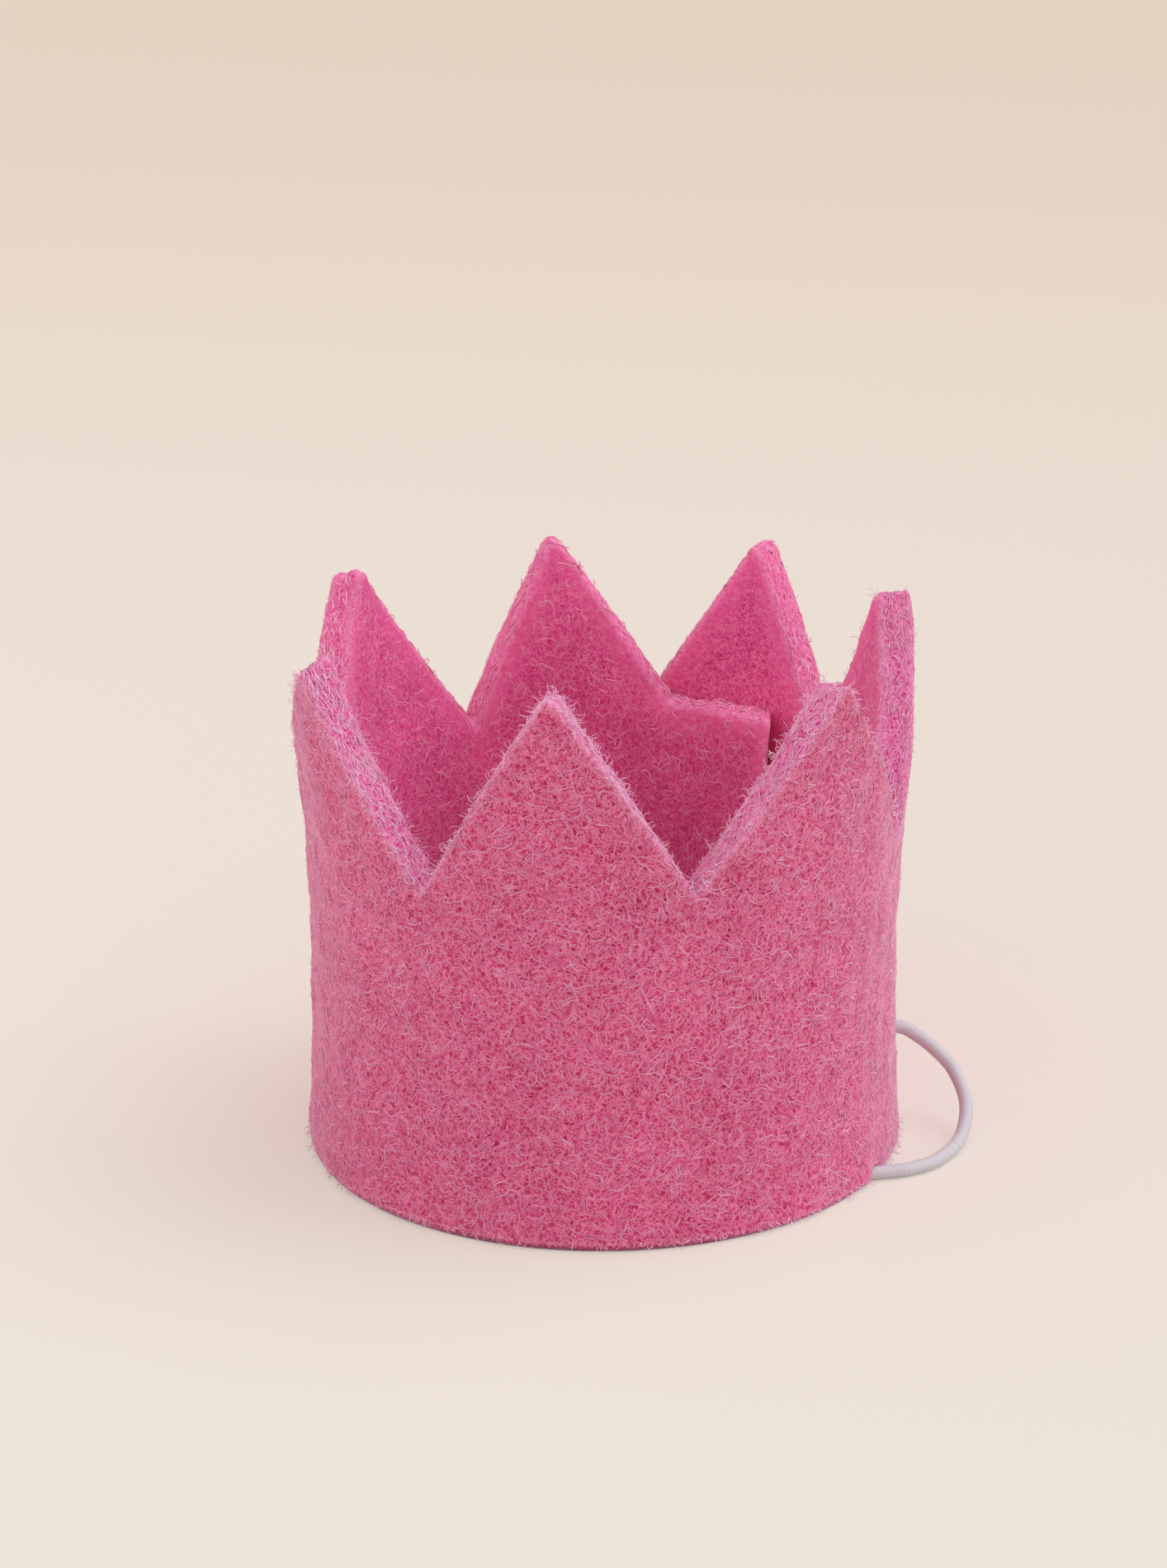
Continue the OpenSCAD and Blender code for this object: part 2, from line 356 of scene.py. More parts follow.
def feltStrip(material):
    span = math.radians(crown["outerEnd"] - crown["tabEnd"]) * baseR
    endR, footHigh, footDeep = crown["cutRound"], crown["footHigh"], crown["footDeep"]
    bevel = np.array([0, 0.1, 0.35, 0.65]) * endR  # extra columns where the two ends go round
    along = np.concatenate([
        bevel, np.linspace(endR, span - endR, int(span / crown["columnStep"])), span - bevel[::-1]])
    angle = (crown["tabEnd"] + np.degrees(along / baseR))[:, None]
    fromEnd = np.minimum(along, span - along)[:, None]
    inset = endR - np.sqrt(np.maximum(endR ** 2 - np.maximum(endR - fromEnd, 0) ** 2, 0))

    # One ring round the section: up the outer wall, over the cut, down the inner wall, along the foot
    steep = np.sqrt(1 + edgeSlope(angle) ** 2)
    outR, inR = outerRound(angle), innerRound(angle)
    topOut, topIn = rimHeight(angle, 0) - inset, rimHeight(angle, thick) - inset
    up = 1 - (1 - np.linspace(0, 1, crown["wallRows"])) ** 1.6  # rows lie closer near the cut
    arc = np.radians(np.arange(1, crown["roundSteps"] + 1) * 90 / crown["roundSteps"])
    across = np.arange(1, crown["cutSteps"]) / crown["cutSteps"]
    footArc = np.radians(np.arange(1, crown["footSteps"] + 1) * 90 / crown["footSteps"])
    wallOut = footHigh + up * (topOut - outR * steep - footHigh)
    wallIn = footHigh + up * (topIn - inR * steep - footHigh)
    footUp = footHigh * (1 - np.sin(footArc)) + 0 * outR
    lift = footLift(angle)
    lipHigh = lift * np.array(crown["lipHigh"])
    lipDeep = lift * np.array(crown["lipDeep"]) * crown["liftDeep"]
    high = np.concatenate([
        wallOut, topOut - outR * steep * (1 - np.sin(arc)), topOut + (topIn - topOut) * across,
        (topIn - inR * steep * (1 - np.sin(arc)))[:, ::-1], wallIn[:, ::-1],
        footUp, 0 * (across + outR), lipHigh], axis=1)
    wide, flat = 0 * outR, thick - footDeep
    deep = np.concatenate([
        0 * up + wide, outR * (1 - np.cos(arc)), outR + (thick - outR - inR) * across,
        thick - inR * (1 - np.cos(arc[::-1])) + wide, thick + 0 * up + wide,
        thick - footDeep * (1 - np.cos(footArc)) + wide, flat - (flat - lipDeep[:, :1]) * across,
        lipDeep], axis=1)
    outward = np.concatenate([
        1 + 0 * up, np.cos(arc), 0 * across, -np.cos(arc[::-1]), -1 + 0 * up,
        -np.cos(footArc), 0 * across, np.cos(footArc[::-1])])
    upward = np.concatenate([
        0 * up, np.sin(arc), 1 + 0 * across, np.sin(arc[::-1]), 0 * up,
        0 * footArc, 0 * across, 0 * footArc])
    depth = inset + deep * (thick - 2 * inset) / thick
    angle = angle + 0 * depth
    points = feltPoint(angle, high, depth)
    bulge = lumps(points, angle, deep)
    rag = crown["ragged"] * ripple(points, raggedWaves) * upward + bulge * upward
    points = points + (bulge * outward)[..., None] * outwards(angle) + rag[..., None] * np.array([0, 0, 1])

    columns, ring = depth.shape
    index = np.arange(columns * ring).reshape(columns, ring)
    right = np.roll(index, -1, axis=1)
    faces = list(np.stack([index[:-1], index[1:], right[1:], right[:-1]], -1).reshape(-1, 4))
    rows, rim = crown["wallRows"], 2 * crown["roundSteps"] + crown["cutSteps"] - 1
    for ids, way in ((index[0], -1), (index[-1], 1)):  # close the two ends
        inner = ids[rows + rim:2 * rows + rim][::-1]
        caps = [[ids[i], inner[i], inner[i + 1], ids[i + 1]] for i in range(rows - 1)]
        caps.append(ids[rows - 1:rows + rim + 1][::-1])
        caps.append(np.append(ids[0], ids[2 * rows + rim - 1:][::-1]))
        faces += [np.array(face)[::way] for face in caps]
    starts = np.concatenate([[0], np.cumsum([len(face) for face in faces])[:-1]])
    piece = meshPiece("felt_crown", points.reshape(-1, 3), np.concatenate(faces), starts, material)

    # For the dye: how far a point is from the nearest cut edge in mm, and which face it is on
    below = np.minimum((rimHeight(angle, depth) - high) / steep, fromEnd)
    away = np.where(upward > 0.5, np.minimum(deep, thick - deep), below).clip(0, 20)
    away = np.where(outward > 0.9, np.minimum(away, np.maximum(high - lift, 0) + 0.3), away)
    # how much of each point is underside of the foot and the lifted edge, which gets painted shade
    lip = crown["lipUnder"]
    under = np.concatenate([0 * outward[:-len(across) - len(lip)], 1 + 0 * across, lip]) + 0 * depth
    worn, atEnd = fray(angle), ease(crown["endWide"] - fromEnd + 0 * depth)
    tabSide = angle < (crown["tabEnd"] + crown["outerEnd"]) / 2
    cut = np.maximum(upward * (0.4 + 0.6 * worn), atEnd * ~tabSide)
    inside = np.maximum(np.maximum(np.clip(-outward, 0, 1), upward), atEnd * tabSide) * (1 - cut)
    for label, values in (("edgeAway", away), ("cutFace", cut), ("innerFace", inside), ("underside", under)):
        pointValues(piece, label, values)
    return piece


felt = {
    # dye of the pits, the matted ground and the pale strands: outer face, inner face, cut; the inner face's
    # is brighter and stronger, painted light
    "deep": ("#B01854", "#D0367C", "#C02674"),
    "mid": ("#CE467E", "#E04A90", "#DC5999"),
    "pale": ("#EE90B4", "#F58AB8", "#F09AC6"),
    # painted glow on the inner face near the cut edges, standing in for light coming through the wool; and
    # the pale fringe of loose fibre ends along the cut
    "paintedGlow": "#FF76B2", "fringe": "#F6B8D9",
    "paintedGlowWide": 6, "fringeWide": 1.3,  # mm from the cut edge
    "paintedGlowMost": 0.5, "fringeMost": 0.5,  # how much of each there is right at the edge
    "pitSize": 0.7, "webSizes": (1.5, 1.15, 0.9, 0.7), "grainSize": 0.3, "mottleSize": 12,  # mm
    "webWide": 0.045,  # share of the noise's range that one strand takes up
    "webApart": (0.31, 0.17, 0.23),  # m between the places where the layers of strands are read
    "mottle": (0.94, 1.05),  # times the dye's colour, from its darkest patches to its palest
    "bumpDeep": 0.08, "bumpStrong": 0.5,  # mm, and the share of it that shows
    "bloom": (1.0, 0.5),  # sheen on the outer face and on the inner one
    "paintedShadeLow": 0.84, "paintedShadeUpTo": (25, 56),  # painted shade: the inside's dye is darker low down, times this at the first height in mm and 1 at the second
    "under": 0.45,  # painted shade: times the dye's colour on the underside of the foot and the lifted edge
    "sheen": "#F8D8F0",  # tint of the bloom
}


def woolFelt():
    # Pressed wool felt: fibres matted in all directions, so the eye sees a pale tangle over deeper-dyed pits,
    # no gloss, and a soft pale bloom where the surface turns away. The inside is cleaner, and its dye is
    # brighter and stronger than the outside's, which is painted light; near the edges it has a painted glow
    # that stands in for light coming through the wool, and low down inside and under the lower edge painted
    # shade. Real strands are finer than these, which are as coarse as they need to be to show
    material, tree = newMaterial("pressed wool felt, dyed pink")
    where = addNode(tree, "ShaderNodeTexCoord")
    tangle = None
    for i, size in enumerate(felt["webSizes"]):  # each layer is a contour of a soft noise: a curly strand
        apart = addNode(tree, "ShaderNodeVectorMath", {
            0: where.outputs["Object"], 1: [step * i for step in felt["webApart"]]}, operation="ADD")
        field = addNode(tree, "ShaderNodeTexNoise", {
            "Vector": apart.outputs[0], "Scale": perMetre(size), "Detail": 1.0, "Roughness": 0.35})
        middle = addNode(tree, "ShaderNodeMath", {0: field.outputs["Fac"], 1: 0.5}, operation="SUBTRACT")
        off = addNode(tree, "ShaderNodeMath", {0: middle.outputs[0]}, operation="ABSOLUTE")
        strand = addNode(tree, "ShaderNodeMapRange", {
            0: off.outputs[0], 1: 0.0, 2: felt["webWide"], 3: 1.0, 4: 0.0}, interpolation_type="SMOOTHSTEP")
        if tangle is None:
            tangle = strand
        else:
            tangle = addNode(tree, "ShaderNodeMath", {
                0: tangle.outputs[0], 1: strand.outputs[0]}, operation="MAXIMUM")
    pit = addNode(tree, "ShaderNodeTexNoise", {
        "Vector": where.outputs["Object"], "Scale": perMetre(felt["pitSize"]),
        "Detail": 2.4, "Roughness": 0.55})
    matted = addNode(tree, "ShaderNodeMapRange", {0: pit.outputs["Fac"], 1: 0.36, 2: 0.56})
    grain = addNode(tree, "ShaderNodeTexNoise", {
        "Vector": where.outputs["Object"], "Scale": perMetre(felt["grainSize"]), "Detail": 2.0})
    mottle = addNode(tree, "ShaderNodeTexNoise", {
        "Vector": where.outputs["Object"], "Scale": perMetre(felt["mottleSize"]), "Detail": 1.0})
    away, cutFace, innerFace, underside = (
        addNode(tree, "ShaderNodeAttribute", attribute_name=label).outputs["Fac"]
        for label in ("edgeAway", "cutFace", "innerFace", "underside"))

    def mix(amount, first, second):
        return addNode(tree, "ShaderNodeMix", {0: amount, 6: first, 7: second}, data_type="RGBA").outputs[2]

    def dye(name):
        outer, inner, cut = (linear(colour) for colour in felt[name])
        return mix(cutFace, mix(innerFace, outer, inner), cut)

    broken = addNode(tree, "ShaderNodeMapRange", {0: grain.outputs["Fac"], 1: 0.3, 2: 0.6, 3: 0.3, 4: 0.95})
    fine = addNode(tree, "ShaderNodeMath", {0: tangle.outputs[0], 1: broken.outputs[0]}, operation="MULTIPLY")
    dyed = mix(fine.outputs[0], mix(matted.outputs[0], dye("deep"), dye("mid")), dye("pale"))
    # painted glow: near the cut edges the inner face's dye is mixed towards a bright pink, standing in for
    # light through the wool
    paintedGlowNearCut = addNode(tree, "ShaderNodeMapRange", {
        0: away, 1: 0.0, 2: felt["paintedGlowWide"], 3: felt["paintedGlowMost"], 4: 0.0},
        interpolation_type="SMOOTHSTEP")
    paintedGlowShare = addNode(tree, "ShaderNodeMath", {
        0: paintedGlowNearCut.outputs[0], 1: innerFace}, operation="MULTIPLY")
    lit = mix(paintedGlowShare.outputs[0], dyed, linear(felt["paintedGlow"]))
    atCut = addNode(tree, "ShaderNodeMapRange", {
        0: away, 1: 0.0, 2: felt["fringeWide"], 3: felt["fringeMost"], 4: 0.0})
    patchy = addNode(tree, "ShaderNodeMapRange", {0: pit.outputs["Fac"], 1: 0.4, 2: 0.6, 3: 0.35})
    frayed = addNode(tree, "ShaderNodeMath", {
        0: atCut.outputs[0], 1: patchy.outputs[0]}, operation="MULTIPLY")
    fringed = mix(frayed.outputs[0], lit, linear(felt["fringe"]))
    least, most = felt["mottle"]
    uneven = addNode(tree, "ShaderNodeMapRange", {
        0: mottle.outputs["Fac"], 1: 0.3, 2: 0.7, 3: least, 4: most})
    parts = addNode(tree, "ShaderNodeSeparateXYZ", {0: where.outputs["Object"]})
    low, high = felt["paintedShadeUpTo"]
    # painted shade: the inner face's dye is darker low down inside the crown
    paintedShadeLow = addNode(tree, "ShaderNodeMapRange", {
        0: parts.outputs["Z"], 1: low * mm, 2: high * mm, 3: felt["paintedShadeLow"], 4: 1.0},
        interpolation_type="SMOOTHSTEP")
    paintedShadeInside = addNode(tree, "ShaderNodeMix", {0: innerFace, 2: 1.0, 3: paintedShadeLow.outputs[0]})
    # painted shade under the lower edge
    under = addNode(tree, "ShaderNodeMapRange", {0: underside, 3: 1.0, 4: felt["under"]})
    # the mottle, times the painted shade low inside and under the edge
    depth = uneven
    for part in (paintedShadeInside, under):
        depth = addNode(tree, "ShaderNodeMath", {
            0: depth.outputs[0], 1: part.outputs[0]}, operation="MULTIPLY")
    tone = addNode(tree, "ShaderNodeVectorMath", {0: fringed, 3: depth.outputs[0]}, operation="SCALE")
    height = addNode(tree, "ShaderNodeMath", {
        0: fine.outputs[0], 1: 0.25, 2: pit.outputs["Fac"]}, operation="MULTIPLY_ADD")
    bump = addNode(tree, "ShaderNodeBump", {
        "Height": height.outputs[0], "Strength": felt["bumpStrong"], "Distance": felt["bumpDeep"] * mm})
    outer, inner = felt["bloom"]
    bloom = addNode(tree, "ShaderNodeMapRange", {0: innerFace, 3: outer, 4: inner})
    body = addNode(tree, "ShaderNodeBsdfPrincipled", {
        "Base Color": tone.outputs[0], "Normal": bump.outputs[0], "Roughness": 0.95, "IOR": 1.45,
        "Specular IOR Level": 0.15, "Sheen Weight": bloom.outputs[0], "Sheen Roughness": 0.40,
        "Sheen Tint": linear(felt["sheen"])})
    addNode(tree, "ShaderNodeOutputMaterial", {"Surface": body.outputs[0]})
    return material


feltCrown = feltStrip(woolFelt())
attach(feltCrown, "root")
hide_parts("felt_band")
print("felt strip rolled:", len(feltCrown.data.polygons), "faces")

# Round elastic: the same points as the solid's route, in mm
elastic = {
    "dia": 2, "holeHigh": 13.5, "holeRight": 457, "holeLeft": 228, "knotGap": 0.1,
    # distance from the base radius, angle and height
    "loopRight": [
        (-2.5, 97, 13.5), (1, 97, 13.5), (3.5, 96.2, 12.3), (6.2, 94.6, 10.3), (8.6, 92.3, 7.8),
        (10, 87.5, 4.5), (9.2, 81.5, 1.5), (6.8, 73.5, 1), (4.2, 69, 1), (2, 66.5, 1),
        (-2.7, 61.4, 1), (-7, 55, 1)],
    # x and y from the crown's axis, lying on the table
    "inside": [
        (20, -22.5), (10, -25.5), (0, -26.5), (-10, -24.5), (-18.5, -18.5), (-23, -9.5), (-21.5, 0),
        (-14, 6.5), (-4.5, 5.5), (4, 0), (13, -3.5), (21, 0.5), (23, 9), (17.5, 16.5), (8, 20),
        (-3.5, 20.5), (-12, 22.5)],
    "loopLeft": [
        (-8, 212, 1), (-3, 212, 1), (2, 212, 1), (6, 215, 1.8), (7.4, 221, 5.8), (6, 226, 10),
        (3.5, 227.5, 12.5), (1, 228, 13.5), (-2.5, 228, 13.5)],
    "stepsPerSpan": 20, "sides": 24,
    "rib": 0.55, "ribDeep": 0.009,  # mm; the real ribs are finer, drawn coarser so that they show
    # the cord's colour in the hollows between the ribs and on their crests: painted shade in the hollows
    "hollow": "#C5C3CA", "white": "#D1D0D6",
}
cordR = elastic["dia"] / 2


def knotFace(angle):
    return float(wallRadius(np.array(angle), np.array(elastic["holeHigh"]))) - thick - elastic["knotGap"]


def polar(radius, angle, high):
    turn = math.radians(angle)
    return radius * math.sin(turn), crown["axisY"] - radius * math.cos(turn), high


def cordRoute():
    points = [polar(knotFace(elastic["holeRight"]), elastic["holeRight"], elastic["holeHigh"])]
    points += [polar(baseR + out, angle, high) for out, angle, high in elastic["loopRight"]]
    points += [(x, crown["axisY"] + y, cordR) for x, y in elastic["inside"]]
    points += [polar(baseR + out, angle, high) for out, angle, high in elastic["loopLeft"]]
    points.append(polar(knotFace(elastic["holeLeft"]), elastic["holeLeft"], elastic["holeHigh"]))
    return np.array(points)


def smoothLine(points, steps):
    ends = np.concatenate([[2 * points[0] - points[1]], points, [2 * points[-1] - points[-2]]])
    t = (np.arange(steps) / steps)[None, :, None]
    a, b, c, d = (ends[i:len(ends) - 3 + i, None] for i in range(4))
    square, cube = 2 * a - 5 * b + 4 * c - d, 3 * b - a - 3 * c + d
    line = 0.5 * (2 * b + (c - a) * t + square * t ** 2 + cube * t ** 3)
    return np.concatenate([line.reshape(-1, 3), points[-1:]])


def tube(line, radii, sides, shift=0):
    # radii has one row a ring, and one value a side or a single one; both ends are closed
    tangent = unit(np.gradient(line, axis=0))
    up = np.array([0, 0, 1.0])
    if abs(tangent[0][2]) > 0.9:
        up = np.array([1.0, 0, 0])
    frames = []
    for t in tangent:
        up = up - t * (up @ t)
        up = up / np.linalg.norm(up)
        frames.append((up, np.cross(t, up)))
    frames = np.array(frames)
    turn = (np.arange(sides) + shift) * 2 * np.pi / sides
    spokes = np.cos(turn)[:, None] * frames[:, None, 0] + np.sin(turn)[:, None] * frames[:, None, 1]
    points = (line[:, None] + spokes * radii[..., None]).reshape(-1, 3)
    index = np.arange(len(points)).reshape(len(line), sides)
    right = np.roll(index, -1, axis=1)
    quads = np.stack([index[:-1], right[:-1], right[1:], index[1:]], -1).reshape(-1, 4)
    loops = np.concatenate([quads.ravel(), index[0][::-1], index[-1]])
    starts = np.concatenate([np.arange(len(quads)) * 4, [len(quads) * 4, len(quads) * 4 + sides]])
    return points, loops, starts


def ribbedRadii(line, radius, sides):
    along = np.concatenate([[0], np.cumsum(np.linalg.norm(np.diff(line, axis=0), axis=1))])[:, None]
    turn = (np.arange(sides) * 2 * np.pi / sides)[None]
    over = np.cos(2 * np.pi * along / elastic["rib"] + 0.6 * np.sin(2 * turn))  # ribs waver round the cord
    return radius - elastic["ribDeep"] * (1 - over), over


def coveredElastic():
    # Round elastic, a rubber core wound with white yarn: a smooth dull cord with faint ribs across it, and
    # painted shade in the hollows between them
    material, tree = newMaterial("round elastic wound with white yarn")
    over = addNode(tree, "ShaderNodeAttribute", attribute_name="ribTop")
    tone = addNode(tree, "ShaderNodeMix", {
        0: over.outputs["Fac"], 6: linear(elastic["hollow"]), 7: linear(elastic["white"])}, data_type="RGBA")
    body = addNode(tree, "ShaderNodeBsdfPrincipled", {
        "Base Color": tone.outputs[2], "Roughness": 0.5, "IOR": 1.5,
        "Sheen Weight": 0.25, "Sheen Roughness": 0.4})
    addNode(tree, "ShaderNodeOutputMaterial", {"Surface": body.outputs[0]})
    return material


elasticLook = coveredElastic()
routeLine = smoothLine(cordRoute(), elastic["stepsPerSpan"])
routeLine[:, 2] = np.maximum(routeLine[:, 2], cordR)
radii, over = ribbedRadii(routeLine, cordR, elastic["sides"])
chinElastic = meshPiece("chin_elastic_cord", *tube(routeLine, radii, elastic["sides"]), elasticLook)
pointValues(chinElastic, "ribTop", over * 0.5 + 0.5)
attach(chinElastic, "root")
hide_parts("chin_elastic")

# The elastic's own way through the felt: a hole on each side, and a hollow under the edge on each side
tunnel = {
    "room": 0.17,  # mm all round the cord
    "past": 1.5,  # mm that each cutter goes on past the felt's faces
    "below": 3,  # mm that it reaches down from the cord's middle, under the edge
    "sides": 26,
}


def cutTunnel(piece):
    first, last = routeLine[0], routeLine[-1]
    before = first + unit(first - routeLine[1]) * tunnel["past"]
    after = last + unit(last - routeLine[-2]) * tunnel["past"]
    line = np.concatenate([[before], routeLine, [after]])
    reach = np.hypot(line[:, 0], line[:, 1] - crown["axisY"])
    inWall = np.abs(reach - baseR + thick / 2) < thick / 2 + tunnel["past"]
    runs = np.split(np.arange(len(line)), np.flatnonzero(np.diff(inWall)) + 1)
    turn = (np.arange(tunnel["sides"]) + 0.5) * 2 * np.pi / tunnel["sides"]
    bore = cordR + tunnel["room"]
    post = np.minimum(bore / np.abs(np.sin(turn)), tunnel["below"] / np.abs(np.cos(turn)))
    arch = np.where(np.cos(turn) > 0, bore, post)  # round above, straight down below
    cutters = []
    for run in [r for r in runs if inWall[r[0]]]:
        under = line[run][:, 2].mean() < 2 * cordR  # under the edge the hollow is open below
        size = np.tile(arch if under else bore + 0 * arch, (len(run), 1))
        shape = tube(line[run], size, tunnel["sides"], 0.5)
        cutters.append(meshPiece("cutter", *shape, piece.data.materials[0]))
        cut = piece.modifiers.new("tunnel", "BOOLEAN")
        cut.object, cut.operation, cut.solver = cutters[-1], "DIFFERENCE", "EXACT"
    whole = piece.evaluated_get(bpy.context.evaluated_depsgraph_get())
    solid, piece.data = piece.data, bpy.data.meshes.new_from_object(whole)
    piece.modifiers.clear()
    clean = bmesh.new()
    clean.from_mesh(piece.data)
    spare = [point for point in clean.verts if len(point.link_edges) == 2]  # the cut leaves some on an edge
    bmesh.ops.dissolve_verts(clean, verts=spare)
    clean.to_mesh(piece.data)
    clean.free()
    for cutter in cutters:
        bpy.data.meshes.remove(cutter.data)
    bpy.data.meshes.remove(solid)
    return len(cutters)


print("tunnels cut:", cutTunnel(feltCrown))

# Stopper knots inside the wall: two turns of the cord round itself, drawn tight, with a short tail
knot = {
    "long": 4.6, "tail": 5,  # mm along the cord
    "strand": 0.66, "free": 0.98,  # mm, the cord's radius where it is drawn tight and where it is free
    "coil": 1.85, "turns": 2.2, "from": 0.9, "to": 3.8,  # radius of the turns, how many, and where they lie
    "apart": 0.62,  # mm between the middle and each strand that runs through the turns
    "turnSteps": 23, "stepsPerSpan": 10, "sides": 16,
}


def stopperKnot(name, node, angle):
    inward = -outwards(np.array(float(angle)))
    sideways = np.array([0, 0, 1.0])
    third = np.cross(inward, sideways)
    apart, coil, strand, sides = knot["apart"], knot["coil"], knot["strand"], knot["sides"]
    # mm across, up and away from the felt: in along one side, round in turns, out along the other side
    local = [(0, -apart * 0.3, 0.0), (0, -apart, 0.9), (0, -apart, 2.4), (0, -0.9, 3.7)]
    for t in np.linspace(0, 1, knot["turnSteps"]):
        way = math.radians(-90 + 360 * knot["turns"] * t)
        deep = knot["to"] + (knot["from"] - knot["to"]) * t
        local.append((coil * math.cos(way), coil * math.sin(way), deep))
    local += [(0.5, apart, 0.75), (0, apart, 1.9), (0, apart, 3.2), (0, 0.45, 4.5)]
    tailEnd = knot["long"] + knot["tail"]
    local += [(0.1, 0.35, 6), (0.2, 0.1, 7.6), (0.1, -0.1, tailEnd)]
    face = np.array(polar(knotFace(angle), angle, elastic["holeHigh"]))
    line = smoothLine(np.array(local), knot["stepsPerSpan"])
    widths = [knot["free"], strand, strand, 0.95, knot["free"]]
    radius = np.interp(line[:, 2], [0, 0.7, 4.0, 5.6, tailEnd], widths)
    inTurns = np.hypot(line[:, 0], line[:, 1]) > 1.2
    radius = np.where(inTurns, strand, radius)
    placed = face + line[:, :1] * third + line[:, 1:2] * sideways + line[:, 2:] * inward
    relief, over = ribbedRadii(placed, 1.0, sides)
    piece = meshPiece(name, *tube(placed, relief * radius[:, None], sides), elasticLook)
    pointValues(piece, "ribTop", over * 0.5 + 0.5)
    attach(piece, "root")
    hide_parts(node)
    return piece


knots = [stopperKnot("stopper_knot_right", "knot_right", elastic["holeRight"]),
         stopperKnot("stopper_knot_left", "knot_left", elastic["holeLeft"])]
print("knots tied")

# Wool fibres as closed three-sided tubes. Real wool is about 0.03 mm thick: these are bundles, drawn as thick
# as they need to be to show
fibre = {
    "webFront": {"count": 8600, "long": (1.5, 4.6), "thick": (0.12, 0.20), "steps": 5},
    "webBack": {"count": 1950, "long": (1.5, 4.2), "thick": (0.12, 0.19), "steps": 4},
    "inner": {"count": 4500, "long": (1.6, 4.2), "thick": (0.12, 0.19), "steps": 5},
    "cut": {"count": 6400, "long": (1.2, 3.4), "thick": (0.12, 0.20), "steps": 4},
    "stray": {"count": 7000, "long": (0.35, 2.2), "thick": (0.07, 0.12), "steps": 4, "curl": 2.4},
    "foot": {"count": 700, "long": (0.4, 1.6), "thick": (0.07, 0.11), "steps": 4, "curl": 1.8},
    "nap": {"count": 3500, "long": (0.3, 0.8), "thick": (0.05, 0.09), "steps": 3, "curl": 1.1},
    # degrees: the half that faces the camera is denser, in two pieces
    "frontFrom": 258, "frontMid": 350, "frontTo": 446,
    "countFrom": 192,  # degrees, where the count starts over behind
    # radians that a fibre turns at each step: always the same way, and at random
    "faceBend": (0.45, 0.4), "cutBend": (0.12, 0.2),
    # mm that a fibre's ends sink in, and how far its middle stands up: at least, and at most on top of that
    "faceSink": 0.09, "faceRise": (0.1, 0.14), "cutSink": 0.06, "cutRise": (0.08, 0.2),
    "rootSink": 0.12, "napSink": 0.08,  # mm that a hair's root lies in the felt
    # share of the stray hairs where the cut isn't frayed, and by angle: fewer of them towards the right
    "strayLeast": 0.12, "strayThin": [(430, 1), (450, 0.4)],
    "napOuter": 0.72,  # share of the nap on the outer face
    "cordGap": 0.25,  # mm kept free beside the elastic
    # each fibre's dye lies between these two; the inside's pair is brighter, painted light
    "outer": ("#D8478A", "#F5CFEA"), "inside": ("#EA4590", "#FFC6E4"),
    # by angle: painted sheen, fibres paler at the sides of the outer face, and stronger along the cut from
    # left to right
    "bloom": [(262, 0.04), (300, 0), (345, -0.07), (385, -0.03), (425, 0.12), (470, 0.12), (534, 0)],
    "cutDye": [(300, 1), (400, 0.78), (460, 0.66)],
    "paintedShadeFibres": 0.6,  # painted shade: share of each inside fibre's shade that is left low down
}


def woolFibre(face):
    # Loose wool, scaly and dull: the same dye as the felt, but paler against it, each fibre its own shade
    material, tree = newMaterial("loose wool fibre, dyed pink, " + face)
    spot = addNode(tree, "ShaderNodeUVMap", uv_map="OFBake")
    parts = addNode(tree, "ShaderNodeSeparateXYZ", {0: spot.outputs[0]})
    shade = addNode(tree, "ShaderNodeMix", {
        0: parts.outputs["X"], 6: linear(fibre[face][0]), 7: linear(fibre[face][1])}, data_type="RGBA")
    body = addNode(tree, "ShaderNodeBsdfPrincipled", {
        "Base Color": shade.outputs[2], "Roughness": 0.85, "IOR": 1.45, "Specular IOR Level": 0.2,
        "Sheen Weight": 0.8, "Sheen Roughness": 0.45, "Sheen Tint": linear(felt["sheen"])})
    addNode(tree, "ShaderNodeOutputMaterial", {"Surface": body.outputs[0]})
    return material


fibreLook = {face: woolFibre(face) for face in ("outer", "inside")}


